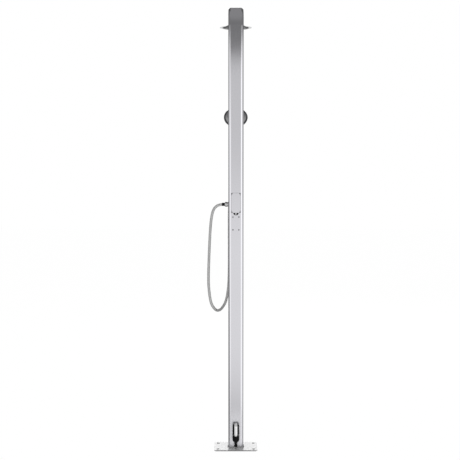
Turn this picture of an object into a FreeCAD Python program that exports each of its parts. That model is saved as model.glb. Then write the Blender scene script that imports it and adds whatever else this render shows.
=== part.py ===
import FreeCAD, Part
import math
import os
from FreeCAD import Placement, Rotation, Vector

# Outdoor shower post, millimetres. Origin: middle of the base plate's underside.
# +Z is up, the arm reaches towards -Y, and the hose leaves the post towards +X.

# Post: one rounded rectangular tube, bent forward at the top
post_width = 76.0
post_depth = 50.0
post_corner = 13.0
post_wall = 2.0
arm_top = 2226.0
bend_outer = 95.0
head_reach = 245.0
arm_past_head = 50.0

# Foot
plate_width = 216.0
plate_depth = 150.0
plate_thick = 5.0
plate_corner = 8.0
plate_bevel = 0.8
anchor_span_x = 180.0
anchor_span_y = 105.0
anchor_hole = 13.0
weld_leg = 4.0

# Back of the post: service panel, vent below it, bracket screws
panel_above_valve = 8.5
panel_width = 48.0
panel_height = 101.0
panel_corner = 4.0
panel_thick = 1.2
panel_screw_inset = 4.2
gasket_thick = 0.5
service_hole_width = 30.0
service_hole_height = 80.0
vent_radius = 14.0
vent_rise = 2.5
bracket_below_valve = 94.5
bracket_width = 40.0
bracket_margin = 6.5
bracket_thick = 2.0
bracket_span_x = 29.5
bracket_span_z = 64.5
clip_wall = 1.6
clip_height = 14.0

# Screws
small_screw = 3.2
small_head = 6.4
bracket_screw = 4.0
bracket_head = 7.0
screw_length = 6.0

# Pipes inside the post
pipe_outside = 12.0
pipe_wall = 1.0
pipe_line = 9.0
nut_flats = 20.0
nut_height = 12.0
pipe_grip = 12.0
pipe_fit = 0.05

# Inlet on the back, near the foot
inlet_height = 120.5
spigot_radius = 9.93
inlet_bore = 6.0
swivel_fit = 0.07
flange_radius = 14.0
flange_thick = 4.0
inlet_gasket = 1.0
swivel_gap = 0.3
elbow_radius = 16.5
elbow_boss = 13.5
elbow_drop = 41.5
collar_drop = 48.0
thread_drop = 60.5
thread_radius = 13.2
groove_depth = 1.0
drain_height = 86.0
drain_head = 3.5
adaptor_radius = 17.25
adaptor_grip = 22.0
adaptor_end = 15.0
nipple_neck = 6.4
nipple_collar = 8.4
nipple_collar_length = 6.0
nipple_bore = 5.0

# Control valve, seen from the front
valve_height = 1243.0
valve_radius = 21.0
valve_back = 16.0
cartridge_bore = 14.5
cartridge_fit = 0.1
disc_radius = 13.0
disc_thick = 4.0
disc_seat = 4.0
disc_fit = 0.03
port_radius = 2.5
port_offset = 8.0
passage_radius = 3.5
port_reach = 38.0
spindle_radius = 6.0
neck_radius = 16.5
neck_reach = 6.0
gland_flange = 3.0
rosette_radius = 25.0
rosette_thick = 5.5
body_nut_flats = 36.0
body_nut_thick = 4.0
knob_radius = 20.0
knob_length = 32.0
knob_gap = 0.5
flute_count = 12
flute_radius = 4.0
flute_depth = 1.3

# Hose outlet on the side
outlet_thread = 7.5
outlet_flange = 11.0
outlet_flange_thick = 3.0
outlet_gasket = 1.0
outlet_bore = 4.5
hose_nut_radius = 12.0
hose_nut_length = 13.0
hose_nut_gap = 0.3

# Shower hose
hose_radius = 7.0
sleeve_length = 15.0
sleeve_wall = 1.0
sleeve_fit = 0.08
hose_route = [
    (83, 0, 1243),
    (106.5, 1, 1228),
    (119, 3, 1201),
    (127, 6, 1144.5),
    (131.5, 5, 1070),
    (136, 4, 965),
    (139, 11, 857.5),
    (134, 14.5, 793.5),
    (127, 10, 750),
    (116, -1.5, 723),
    (99.5, -24.5, 701.5),
    (84.5, -45.5, 698.5),
    (68.5, -63.5, 709),
    (49, -79, 741.5),
    (38, -78.5, 806),
    (34.5, -74, 872),
    (33.5, -68, 975),
    (34, -62, 1093.5),
    (34, -58.5, 1205),
    (30.5, -57.5, 1284),
    (22, -57, 1365),
    (10, -54, 1424),
]
hose_last_run = 46.0

# Rain head under the arm
brim_below_arm = 31.0
brim_radius = 83.0
sheet = 1.2
dome_base = 68.0
dome_rise = 20.0
ball_rise = 11.0
ball_radius = 10.0
ball_fit = 0.05
cup_wall = 1.5
ball_neck = 6.0
ball_bore = 4.0
hub_radius = 18.0
hub_hole = 13.0
retainer_radius = 15.0
spray_radius = 68.0
spray_drop = 3.2
spray_floor = 1.3
mat_thick = 1.0
nub_reach = 1.6
nub_radius = 1.5
nub_taper = 0.4
nub_fit = 0.05
rain_rings = 4
rain_ring_step = 14.5
stand_radius = 16.5
head_flange = 12.0
head_flange_thick = 2.6
head_thread = 10.0
socket_radius = 12.5

# Hand shower and its holder
holder_height = 1540.0
holder_reach = 55.0
holder_tilt = 20.0
holder_flange = 22.0
holder_flange_thick = 5.0
holder_stem = 11.0
holder_stem_reach = 25.0
holder_spigot = 6.0
ring_radius = 18.5
ring_height = 30.0
ring_slot = 15.6
cone_middle = 11.35
cone_taper = 0.0625
cone_top = 16.0
cone_bottom = -24.0
cone_fit = 0.15
grip_radius = 12.8
grip_waist = 11.2
grip_top = 90.0
handset_bore = 5.0
face_tilt = 16.0
face_forward = 30.0
face_up = 160.0
face_radius = 61.0
face_brim = 7.0
face_brim_thick = 4.0
face_dome = 16.0
face_wall = 2.0
face_plate = 2.0
face_inset = 0.4
face_rings = 3
face_ring_step = 14.0

# Worked out from the sizes above
back_face = post_depth / 2
front_face = -post_depth / 2
side_face = post_width / 2
inner_back = back_face - post_wall
inner_front = front_face + post_wall
inner_side = side_face - post_wall
bend_y = back_face - bend_outer
bend_z = arm_top - bend_outer
arm_end = -head_reach - arm_past_head
arm_bottom = arm_top - post_depth
brim_height = arm_bottom - brim_below_arm
panel_middle = valve_height + panel_above_valve
bracket_middle = valve_height - bracket_below_valve
pipe_radius = pipe_outside / 2
riser_bend = pipe_line - bend_y
riser_arm_z = bend_z + riser_bend

X, Y, Z = Vector(1, 0, 0), Vector(0, 1, 0), Vector(0, 0, 1)
parts = {}


# Shapes that many pieces share


def rod(radius, length, start, along):
    return Part.makeCylinder(radius, length, start, along)


def ring(outer, inner, length, start, along):
    return rod(outer, length, start, along).cut(rod(inner, length, start, along))


def turned(outline, start=Vector(0, 0, 0), along=Z):
    """Turn an outline of (radius, height) points about an axis. A third value in a point
    marks an arc to it: the (radius, height) of a place that the arc passes."""
    edges = []
    here = outline[0]
    for there in outline[1:] + outline[:1]:
        a = Vector(here[0], 0, here[1])
        b = Vector(there[0], 0, there[1])
        if len(there) == 3:
            edges.append(Part.Arc(a, Vector(there[2][0], 0, there[2][1]), b).toShape())
        elif a.distanceToPoint(b) > 1e-6:
            edges.append(Part.LineSegment(a, b).toShape())
        here = there
    solid = Part.Face(Part.Wire(edges)).revolve(Vector(0, 0, 0), Z, 360)
    solid = Part.Solid(solid) if solid.ShapeType == "Shell" else solid
    solid.Placement = Placement(start, Rotation(Z, along))
    return solid


def hexagon(flats, length, start, along):
    corner = flats / 2 / math.cos(math.pi / 6)
    points = [
        Vector(corner * math.cos(k * math.pi / 3), corner * math.sin(k * math.pi / 3), 0)
        for k in range(7)
    ]
    solid = Part.Face(Part.makePolygon(points)).extrude(Z * length)
    solid.Placement = Placement(start, Rotation(Z, along))
    return solid


def rounded_wire(width, depth, corner):
    """A rectangle with round corners, in the XY plane and centred on the origin."""
    edges = []
    slant = corner * math.sqrt(0.5)
    places = [(1, 1), (-1, 1), (-1, -1), (1, -1)]
    for k, (sx, sy) in enumerate(places):
        middle = Vector(sx * (width / 2 - corner), sy * (depth / 2 - corner), 0)
        on_side = middle + Vector(sx * corner, 0, 0)
        on_end = middle + Vector(0, sy * corner, 0)
        first, last = (on_side, on_end) if k % 2 == 0 else (on_end, on_side)
        edges.append(Part.Arc(first, middle + Vector(sx * slant, sy * slant, 0), last).toShape())
        next_x, next_y = places[(k + 1) % 4]
        turn = Vector(next_x * (width / 2 - corner), next_y * (depth / 2 - corner), 0)
        step = Vector(0, next_y * corner, 0) if k % 2 == 0 else Vector(next_x * corner, 0, 0)
        edges.append(Part.LineSegment(last, turn + step).toShape())
    return Part.Wire(edges)


def rounded_block(width, depth, corner, length):
    return Part.Face(rounded_wire(width, depth, corner)).extrude(Z * length)


def facing_back(shape, y, z):
    """Stand a flat shape up, so that its +Z side faces +Y."""
    shape.Placement = Placement(Vector(0, y, z), Rotation(X, -90))
    return shape


def spread(width, height):
    return [(sx * width / 2, sz * height / 2) for sx in (-1, 1) for sz in (-1, 1)]


def ring_places(rings, step):
    """The middle and then rings of 6, 12, 18 ... places."""
    places = [(0.0, 0.0)]
    for ring_number in range(1, rings + 1):
        for k in range(6 * ring_number):
            angle = 2 * math.pi * k / (6 * ring_number)
            places.append((ring_number * step * math.cos(angle), ring_number * step * math.sin(angle)))
    return places


def countersunk(head, shank, length, start, along):
    """A countersunk screw whose flat top is at start; along points into the work."""
    sink = (head - shank) / 2
    screw = turned([(0, 0), (head / 2, 0), (shank / 2, sink), (shank / 2, length), (0, length)], start, along)
    return screw.cut(hexagon(shank * 0.55, sink * 0.8, start, along))


# The post and its foot


def post_profile():
    outer = rounded_wire(post_width, post_depth, post_corner)
    inner = rounded_wire(post_width - 2 * post_wall, post_depth - 2 * post_wall, post_corner - post_wall)
    return Part.makeFace([outer, inner], "Part::FaceMakerBullseye")


def make_post():
    profile = post_profile()
    hub = Vector(0, bend_y, bend_z)
    low = profile.translated(Z * plate_thick)
    high = profile.translated(Z * bend_z)
    straight = low.extrude(Z * (bend_z - plate_thick))
    bend = high.revolve(hub, X, 90)
    arm = high.rotated(hub, X, 90).extrude(Y * (arm_end - bend_y))
    tube = straight.fuse([bend, arm]).removeSplitter()
    tube = Part.Solid(tube.Solids[0]) if tube.Solids else tube

    through = 3 * post_wall
    back_out = back_face + post_wall
    cuts = [rod(spigot_radius + 0.1, through, Vector(0, back_out, inlet_height), -Y)]
    service_hole = rounded_block(service_hole_width, service_hole_height, panel_corner, through)
    cuts.append(facing_back(service_hole, back_face - 2 * post_wall, panel_middle))
    panel_bottom = panel_middle - panel_height / 2
    vent = rod(vent_radius, through, Vector(0, back_out, panel_bottom + vent_rise), -Y)
    above_vent = Part.makeBox(4 * vent_radius, 2 * through, 2 * vent_radius)
    above_vent.translate(Vector(-2 * vent_radius, inner_back - through, panel_bottom + vent_rise))
    cuts.append(vent.cut(above_vent))
    for x, z in panel_screw_places():
        cuts.append(rod(small_screw / 2 + 0.05, through, Vector(x, back_out, z), -Y))
    for x, z in bracket_screw_places():
        cuts.append(rod(bracket_screw / 2 + 0.05, through, Vector(x, back_out, z), -Y))
    for x in holder_screw_places():
        cuts.append(rod(small_screw / 2 + 0.05, through, Vector(x, front_face - post_wall, holder_height), Y))
    cuts.append(rod(neck_radius + 0.2, through, Vector(0, front_face - post_wall, valve_height), Y))
    cuts.append(rod(outlet_thread + 0.2, through, Vector(side_face + post_wall, 0, valve_height), -X))
    cuts.append(rod(head_thread + 0.2, through, Vector(0, -head_reach, arm_bottom - post_wall), Z))
    parts["post_tube"] = tube.cut(cuts)


def make_foot():
    plate = rounded_block(plate_width, plate_depth, plate_corner, plate_thick)
    rim = [e for e in plate.Edges if e.CenterOfMass.z > plate_thick - 0.01]
    plate = plate.makeChamfer(plate_bevel, rim)
    for x, y in spread(anchor_span_x, anchor_span_y):
        plate = plate.cut(rod(anchor_hole / 2, 3 * plate_thick, Vector(x, y, -plate_thick), Z))
    parts["base_plate"] = plate

    toe = rounded_wire(post_width + 2 * weld_leg, post_depth + 2 * weld_leg, post_corner + weld_leg)
    top = rounded_wire(post_width, post_depth, post_corner)
    wires = [toe.translated(Z * plate_thick), top.translated(Z * (plate_thick + weld_leg))]
    bead = Part.makeLoft(wires, True, True)
    core = rounded_block(post_width, post_depth, post_corner, 2 * weld_leg).translated(Z * plate_thick)
    parts["foot_weld"] = bead.cut(core)


def make_end_cap():
    plate = rounded_block(post_width, post_depth, post_corner, post_wall)
    inside = 2 * post_wall + 0.2
    rim = 5 * post_wall
    plug = rounded_block(post_width - inside, post_depth - inside, post_corner - post_wall, rim)
    hollow = rounded_block(post_width - 2 * inside, post_depth - 2 * inside, post_corner - inside, rim)
    cap = plate.fuse(plug.cut(hollow).translated(Z * -rim))
    cap.Placement = Placement(Vector(0, arm_end, arm_top - post_depth / 2), Rotation(X, 90))
    parts["arm_end_cap"] = cap


# Service panel and the bracket behind the back wall


def panel_screw_places():
    inset = 2 * panel_screw_inset
    return [(x, panel_middle + z) for x, z in spread(panel_width - inset, panel_height - inset)]


def bracket_screw_places():
    return [(x, bracket_middle + z) for x, z in spread(bracket_span_x, bracket_span_z)]


def make_panel():
    under = back_face + gasket_thick
    outside = under + panel_thick
    gasket = rounded_block(panel_width - 1, panel_height - 1, panel_corner - 0.5, gasket_thick)
    gasket = gasket.cut(rounded_block(service_hole_width, service_hole_height, panel_corner, gasket_thick))
    gasket = facing_back(gasket, back_face, panel_middle)
    panel = rounded_block(panel_width, panel_height, panel_corner, panel_thick)
    panel = facing_back(panel, under, panel_middle)
    screws = []
    for x, z in panel_screw_places():
        place = Vector(x, outside, z)
        sink = turned(
            [(0, 0), (small_head / 2 + 0.05, 0), (small_screw / 2 + 0.05, (small_head - small_screw) / 2),
             (small_screw / 2 + 0.05, screw_length), (0, screw_length)], place, -Y)
        panel = panel.cut(sink)
        gasket = gasket.cut(sink)
        screws.append(countersunk(small_head, small_screw, screw_length, place, -Y))
        parts["post_tube"] = parts["post_tube"].cut(sink)
    parts["access_panel"] = panel
    parts["panel_gasket"] = gasket
    parts["panel_screws"] = Part.makeCompound(screws)


def make_bracket():
    height = bracket_span_z + 2 * bracket_margin
    plate = facing_back(rounded_block(bracket_width, height, 3, bracket_thick), inner_back - bracket_thick,
                        bracket_middle)
    clip_low = bracket_middle - clip_height / 2
    clip_radius = pipe_radius + clip_wall
    web = Part.makeBox(2 * clip_wall, inner_back - bracket_thick - pipe_line, clip_height,
                       Vector(-clip_wall, pipe_line, clip_low))
    clip = web.fuse(rod(clip_radius, clip_height, Vector(0, pipe_line, clip_low), Z))
    grip = rod(pipe_radius + pipe_fit, clip_height, Vector(0, pipe_line, clip_low), Z)
    bracket = plate.fuse(clip).cut(grip)
    screws = []
    for x, z in bracket_screw_places():
        bracket = bracket.cut(rod(bracket_screw / 2 + 0.05, screw_length * 2, Vector(x, back_face, z), -Y))
        head = turned([(0, 0), (bracket_head / 2, 0), (bracket_head / 2 - 0.6, 1.4), (0, 1.8)],
                      Vector(x, back_face, z), Y)
        shank = rod(bracket_screw / 2, screw_length, Vector(x, back_face, z), -Y)
        socket = hexagon(bracket_screw * 0.6, 1.2, Vector(x, back_face + 0.8, z), Y)
        screws.append(head.fuse(shank).cut(socket))
    parts["valve_bracket"] = bracket
    parts["bracket_screws"] = Part.makeCompound(screws)


# Inlet: a fixed spigot in the back wall, and an elbow that turns on it


def make_inlet_fixed():
    flange_face = back_face + inlet_gasket
    spigot_start = flange_face + flange_thick
    elbow_line = spigot_start + swivel_gap + elbow_radius
    spigot_end = elbow_line + 2.5
    thread_end = inner_back - 8
    groove_y = elbow_line - 10
    seal_y = groove_y + 6
    radius = spigot_radius - groove_depth
    outline = [
        (inlet_bore, thread_end),
        (spigot_radius - 0.4, thread_end),
        (spigot_radius - 0.4, flange_face),
        (flange_radius, flange_face),
        (flange_radius, spigot_start),
        (spigot_radius, spigot_start),
        (spigot_radius, groove_y - 2.2),
        (radius, groove_y - 2.2),
        (radius, groove_y + 2.2),
        (spigot_radius, groove_y + 2.2),
        (spigot_radius, seal_y - 1),
        (radius, seal_y - 1),
        (radius, seal_y + 1),
        (spigot_radius, seal_y + 1),
        (spigot_radius, spigot_end),
        (inlet_bore, spigot_end),
    ]
    origin = Vector(0, 0, inlet_height)
    parts["inlet_spigot"] = turned(outline, origin, Y)
    seal = (spigot_radius + swivel_fit - 0.03 - radius) / 2
    parts["swivel_seal"] = Part.makeTorus(radius + seal, seal, Vector(0, seal_y, inlet_height), Y)
    at_wall = Vector(0, back_face, inlet_height)
    parts["inlet_gasket"] = ring(flange_radius, spigot_radius - 0.3, inlet_gasket, at_wall, Y)
    nut = hexagon(26, 4, Vector(0, inner_back, inlet_height), -Y)
    parts["inlet_locknut"] = nut.cut(rod(spigot_radius - 0.35, 4, Vector(0, inner_back, inlet_height), -Y))

    # Elbow inside the post, from the spigot up to the supply pipe
    mouth = inner_back - 4.1
    body = rod(13, mouth - 1, Vector(0, 1, inlet_height), Y)
    top = inlet_height + 31.5
    body = body.fuse(rod(9, top - inlet_height, Vector(0, pipe_line, inlet_height), Z))
    body = body.cut(rod(spigot_radius - 0.35, mouth - thread_end + 0.1, Vector(0, mouth, inlet_height), -Y))
    body = body.cut(rod(inlet_bore - 1, mouth - pipe_line, Vector(0, mouth, inlet_height), -Y))
    body = body.cut(rod(inlet_bore - 1, top - inlet_height, Vector(0, pipe_line, inlet_height), Z))
    body = body.cut(rod(pipe_radius + pipe_fit, pipe_grip, Vector(0, pipe_line, top - pipe_grip), Z))
    parts["inner_elbow"] = body
    return elbow_line, groove_y, top


def make_inlet_elbow(elbow_line, groove_y):
    low = inlet_height - elbow_drop
    collar = inlet_height - collar_drop
    thread_low = inlet_height - thread_drop
    boss_start = back_face + inlet_gasket + flange_thick + swivel_gap
    shell = turned(
        [(0, thread_low), (thread_radius, thread_low), (thread_radius, collar), (thread_radius + 0.8, collar),
         (thread_radius + 0.8, low), (elbow_radius - 1, low), (elbow_radius, low + 1),
         (elbow_radius, inlet_height),
         (0, inlet_height + elbow_radius,
          (elbow_radius * math.sqrt(0.5), inlet_height + elbow_radius * math.sqrt(0.5)))],
        Vector(0, elbow_line, 0))
    boss = rod(elbow_boss, elbow_line - boss_start, Vector(0, boss_start, inlet_height), Y)
    body = shell.fuse(boss)
    body = body.cut(rod(spigot_radius + swivel_fit, elbow_line + 3 - boss_start,
                        Vector(0, boss_start, inlet_height), Y))
    body = body.cut(rod(9, inlet_height - thread_low, Vector(0, elbow_line, thread_low), Z))
    grub_tip = inlet_height - (spigot_radius - groove_depth + 0.3)
    grub_foot = inlet_height - elbow_boss + 0.3
    body = body.cut(rod(2.05, elbow_boss, Vector(0, groove_y, inlet_height - elbow_boss - 1), Z))
    parts["elbow_grub_screw"] = rod(2, grub_tip - grub_foot, Vector(0, groove_y, grub_foot), Z)
    drain_at = Vector(-elbow_radius, elbow_line, drain_height)
    body = body.cut(rod(2.55, 10, Vector(-elbow_radius - 1, elbow_line, drain_height), X))
    flat = Part.makeBox(4, 12, 12, Vector(-elbow_radius - 3.4, elbow_line - 6, drain_height - 6))
    body = body.cut(flat)
    seat = -elbow_radius + 0.6
    head = rod(drain_head, 3, Vector(seat, elbow_line, drain_height), -X)
    slot = Part.makeBox(1.2, 1, 2 * drain_head, Vector(seat - 3, elbow_line - 0.5, drain_height - drain_head))
    shank = rod(2.5, drain_at.x * -1 - 0.6 - 9.5, Vector(seat, elbow_line, drain_height), X)
    parts["drain_screw"] = head.fuse(shank).cut(slot)
    parts["inlet_elbow"] = body
    return collar, thread_low


def make_adaptor(elbow_line, collar, thread_low):
    top = collar
    grip_low = top - adaptor_grip
    waist_high = grip_low - 13
    waist_low = waist_high - 5
    bulge_top = adaptor_end + nipple_collar_length + 6.5
    bulge_low = adaptor_end + 3.5
    outline = [
        (nipple_bore, adaptor_end),
        (nipple_neck - 0.6, adaptor_end),
        (nipple_neck, adaptor_end + 0.8),
        (nipple_collar, bulge_low, (nipple_collar - 0.7, adaptor_end + 2)),
        (nipple_collar, bulge_low + nipple_collar_length),
        (nipple_neck, bulge_top, (nipple_collar - 0.6, bulge_top - 1.4)),
        (nipple_neck, waist_low + 1.5),
        (nipple_neck + 1.2, waist_high),
        (adaptor_radius, grip_low, (adaptor_radius - 4, waist_high + 5.5)),
        (adaptor_radius, top - 1),
        (adaptor_radius - 1, top),
        (thread_radius + 0.05, top),
        (thread_radius + 0.05, thread_low - 2.2),
        (nipple_bore, thread_low - 2.2),
    ]
    adaptor = turned(outline, Vector(0, elbow_line, 0))
    grooves = 20
    for k in range(grooves):
        angle = 2 * math.pi * k / grooves
        place = Vector(math.cos(angle), math.sin(angle), 0) * (adaptor_radius + 0.6)
        place += Vector(0, elbow_line, grip_low + 2)
        adaptor = adaptor.cut(rod(1.4, adaptor_grip, place, Z))
    parts["tap_adaptor"] = adaptor
    parts["adaptor_washer"] = ring(thread_radius - 0.3, 8.5, 2.1, Vector(0, elbow_line, thread_low - 2.15), Z)


# Pipes


def make_pipes(elbow_top):
    low = elbow_top - pipe_grip + 0.5
    port_low = valve_height - port_reach
    high = port_low + pipe_grip - 0.5
    start = Vector(0, pipe_line, low)
    parts["supply_pipe"] = ring(pipe_radius, pipe_radius - pipe_wall, high - low, start, Z)
    socket_start = -head_reach + socket_radius
    places = [(pipe_line, elbow_top, Z), (pipe_line, port_low, -Z),
              (pipe_line, valve_height + port_reach, Z), (socket_start, riser_arm_z, Y)]
    nuts = []
    for y, z, along in places:
        start = Vector(0, y, z)
        nut = hexagon(nut_flats, nut_height, start, along)
        nuts.append(nut.cut(rod(pipe_radius + pipe_fit, nut_height, start, along)))
    parts["pipe_nuts"] = Part.makeCompound(nuts)

    centre = Vector(0, pipe_line, 0)
    circles = [Part.Wire(Part.makeCircle(r, centre, Z)) for r in (pipe_radius, pipe_radius - pipe_wall)]
    section = Part.makeFace(circles, "Part::FaceMakerBullseye")
    hub = Vector(0, bend_y, bend_z)
    riser_low = valve_height + port_reach - pipe_grip + 0.5
    at_bend = section.translated(Z * bend_z)
    up = section.translated(Z * riser_low).extrude(Z * (bend_z - riser_low))
    over = at_bend.revolve(hub, X, 90)
    along = at_bend.rotated(hub, X, 90).extrude(Y * (socket_start - pipe_grip + 0.5 - bend_y + 6))
    parts["riser_pipe"] = up.fuse([over, along]).removeSplitter()


# Control valve: a slotted ceramic disc turns against a ported one


def make_valve():
    centre = Vector(0, 0, valve_height)
    barrel = rod(valve_radius, valve_back - inner_front, centre + Y * inner_front, Y)
    neck = rod(neck_radius, neck_reach + post_wall, centre + Y * inner_front, -Y)
    low_port = rod(11, port_reach, centre + Y * pipe_line, -Z)
    high_port = rod(11, port_reach, centre + Y * pipe_line, Z)
    side_port = rod(11, inner_side - 0.05, centre, X)
    body = barrel.fuse([neck, low_port, high_port, side_port]).removeSplitter()
    body = body.cut(rod(cartridge_bore, 60, centre + Y * disc_seat, -Y))
    for offset in (Vector(0, 0, 0), X * port_offset, Z * port_offset):
        body = body.cut(rod(port_radius, pipe_line - disc_seat, centre + Y * disc_seat + offset, Y))
    pipe_hole = pipe_radius + pipe_fit
    wall = port_offset - port_radius - 0.3
    body = body.cut(rod(passage_radius, port_reach + 1, centre + Y * pipe_line + Z, -Z))
    body = body.cut(rod(passage_radius, port_reach, centre + Y * pipe_line + Z * wall, Z))
    body = body.cut(rod(passage_radius - 0.5, 20, centre + Y * pipe_line + X * wall, X))
    body = body.cut(rod(pipe_hole, pipe_grip, centre + Y * pipe_line - Z * (port_reach - pipe_grip), -Z))
    body = body.cut(rod(pipe_hole, pipe_grip, centre + Y * pipe_line + Z * (port_reach - pipe_grip), Z))
    body = body.cut(rod(outlet_thread + 0.1, inner_side - 20, centre + X * 20, X))
    parts["valve_body"] = body

    neck_end = front_face - neck_reach
    sleeve_end = neck_end + 1
    outer = cartridge_bore - cartridge_fit
    ledge = -disc_thick - 4
    parts["cartridge_sleeve"] = turned(
        [(disc_radius + disc_fit, disc_seat), (outer, disc_seat), (outer, sleeve_end),
         (spindle_radius + disc_fit, sleeve_end), (spindle_radius + disc_fit, ledge),
         (disc_radius + disc_fit, ledge)], centre, Y)
    fixed = rod(disc_radius, disc_seat, centre, Y)
    for offset in (Vector(0, 0, 0), X * port_offset, Z * port_offset):
        fixed = fixed.cut(rod(port_radius, disc_seat, centre + offset, Y))
    parts["fixed_disc"] = fixed
    parts["cartridge_nut"] = turned(
        [(spindle_radius + 0.3, neck_end - gland_flange), (neck_radius, neck_end - gland_flange),
         (neck_radius, neck_end), (outer, neck_end), (outer, sleeve_end), (spindle_radius + 0.3, sleeve_end)],
        centre, Y)
    nut = hexagon(body_nut_flats, body_nut_thick, centre + Y * front_face, -Y)
    parts["body_nut"] = nut.cut(rod(neck_radius + 0.05, body_nut_thick, centre + Y * front_face, -Y))
    cover = rosette_thick - body_nut_thick
    hollow = body_nut_flats / 2 / math.cos(math.pi / 6) + 0.7
    parts["front_rosette"] = turned(
        [(hollow, 0), (rosette_radius, 0), (rosette_radius, rosette_thick - 1.5),
         (rosette_radius - 1.5, rosette_thick, (rosette_radius - 0.44, rosette_thick - 0.44)),
         (neck_radius + 0.1, rosette_thick), (neck_radius + 0.1, rosette_thick - cover + 0.2),
         (hollow, rosette_thick - cover + 0.2)], centre + Y * front_face, -Y)
    return neck_end - gland_flange


def make_control(gland_face):
    centre = Vector(0, 0, valve_height)
    top = -0.02
    back = -disc_thick
    disc = rod(disc_radius - disc_fit, top - back, centre + Y * back, Y)
    slot = Part.makeBox(2 * port_radius, 2, port_offset, centre + Vector(-port_radius, top - 2, 0))
    slot = slot.fuse([rod(port_radius, 2, centre + Y * top, -Y),
                      rod(port_radius, 2, centre + Y * top + Z * port_offset, -Y)])
    slot = slot.rotated(centre, Y, 45)
    disc = disc.cut(slot)
    pins = [rod(1.5, 1.5, centre + Y * back + X * s * 9, Y) for s in (-1, 1)]
    parts["turning_disc"] = disc.cut(pins)

    knob_back = gland_face - knob_gap
    tip = knob_back - 14
    spindle = turned(
        [(0, back), (11, back), (11, back - 3), (spindle_radius, back - 3), (spindle_radius, knob_back - 2),
         (4, knob_back - 2), (4, tip), (0, tip)], centre, Y)
    spindle = spindle.fuse(pins).removeSplitter()
    flat = Part.makeBox(10, 14, 5, centre + Vector(-5, tip, 3.2))
    spindle = spindle.cut(flat)
    screw_hole = rod(1.6, 9, centre + Y * tip, Y)
    parts["valve_spindle"] = spindle.cut(screw_hole)

    front = knob_back - knob_length
    knob = turned(
        [(0, 0), (knob_radius - 1, 0), (knob_radius, 1), (knob_radius, knob_length - 2.5),
         (knob_radius - 2.5, knob_length, (knob_radius - 0.73, knob_length - 0.73)), (0, knob_length)],
        centre + Y * knob_back, -Y)
    for k in range(flute_count):
        angle = 2 * math.pi * (k + 0.5) / flute_count
        reach = knob_radius + flute_radius - flute_depth
        place = centre + Vector(reach * math.cos(angle), knob_back - 5, reach * math.sin(angle))
        knob = knob.cut(rod(flute_radius, knob_length, place, -Y))
    bore = rod(spindle_radius + 0.05, 2, centre + Y * knob_back, -Y)
    socket = rod(4.05, 14.1, centre + Y * knob_back, -Y)
    socket = socket.cut(Part.makeBox(10, 12, 5, centre + Vector(-5, tip, 3.25)))
    cap_depth = 3.0
    head_depth = 4.0
    head_at = front + cap_depth + head_depth
    knob = knob.cut([bore, socket, rod(1.7, knob_length, centre + Y * knob_back, -Y),
                     rod(3.6, knob_length, centre + Y * head_at, -Y),
                     rod(7.05, cap_depth, centre + Y * front, Y)])
    parts["control_knob"] = knob
    screw_tip = tip + 7 - head_at + 3
    screw = turned([(0, 0), (3.4, 0), (3.4, 3), (1.55, 3), (1.55, screw_tip), (0, screw_tip)],
                   centre + Y * (head_at - 3), Y)
    parts["knob_screw"] = screw.cut(hexagon(3, 2, centre + Y * (head_at - 3), Y))
    parts["knob_cap"] = turned([(0, 0), (7, 0), (7, cap_depth - 0.6), (6.4, cap_depth), (0, cap_depth)],
                               centre + Y * (front + cap_depth), -Y)


# Hose outlet and the shower hose


def make_outlet():
    centre = Vector(0, 0, valve_height)
    flange_start = side_face + outlet_gasket
    flange_end = flange_start + outlet_flange_thick
    nut_start = flange_end + hose_nut_gap
    nut_end = nut_start + hose_nut_length
    thread_tip = nut_end - 2.5
    start = 22
    parts["outlet_nipple"] = turned(
        [(outlet_bore, start), (outlet_thread, start), (outlet_thread, flange_start),
         (outlet_flange, flange_start), (outlet_flange, flange_end - 1), (outlet_flange - 1, flange_end),
         (outlet_thread, flange_end), (outlet_thread, thread_tip), (outlet_bore, thread_tip)], centre, X)
    at_wall = centre + X * side_face
    parts["outlet_gasket"] = ring(outlet_flange - 1, outlet_thread + 0.1, outlet_gasket, at_wall, X)
    nut = turned(
        [(hose_radius - 2, nut_end), (hose_nut_radius - 2.5, nut_end), (hose_nut_radius, nut_end - 3),
         (hose_nut_radius, nut_start), (outlet_thread + 0.05, nut_start),
         (outlet_thread + 0.05, nut_end - 2.4), (hose_radius - 2, nut_end - 2.4)], centre, X)
    for k in range(12):
        angle = 2 * math.pi * k / 12
        place = centre + Vector(nut_start, (hose_nut_radius + 1.2) * math.cos(angle),
                                (hose_nut_radius + 1.2) * math.sin(angle))
        nut = nut.cut(rod(2, hose_nut_length, place, X))
    parts["hose_nut"] = nut
    inside = hose_radius + sleeve_fit
    at_nut = centre + X * nut_end
    parts["lower_sleeve"] = ring(inside + sleeve_wall, inside, sleeve_length, at_nut, X)
    return Vector(nut_end, 0, valve_height)


def hose_line(route):
    """Straight runs joined by tangent arcs, each as large as its two runs allow."""
    edges = []
    radii = []
    here = route[0]
    for before, corner, after in zip(route, route[1:], route[2:]):
        arriving = (corner - before).normalize()
        leaving = (after - corner).normalize()
        half_turn = arriving.getAngle(leaving) / 2
        trim = 0.45 * min((corner - before).Length, (after - corner).Length)
        radii.append(trim / math.tan(half_turn))
        enter = corner - arriving * trim
        leave = corner + leaving * trim
        inward = (leaving - arriving).normalize()
        middle = corner + inward * (radii[-1] / math.cos(half_turn) - radii[-1])
        edges.append(Part.LineSegment(here, enter).toShape())
        edges.append(Part.Arc(enter, middle, leave).toShape())
        here = leave
    edges.append(Part.LineSegment(here, route[-1]).toShape())
    return Part.Wire(edges), radii


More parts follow.
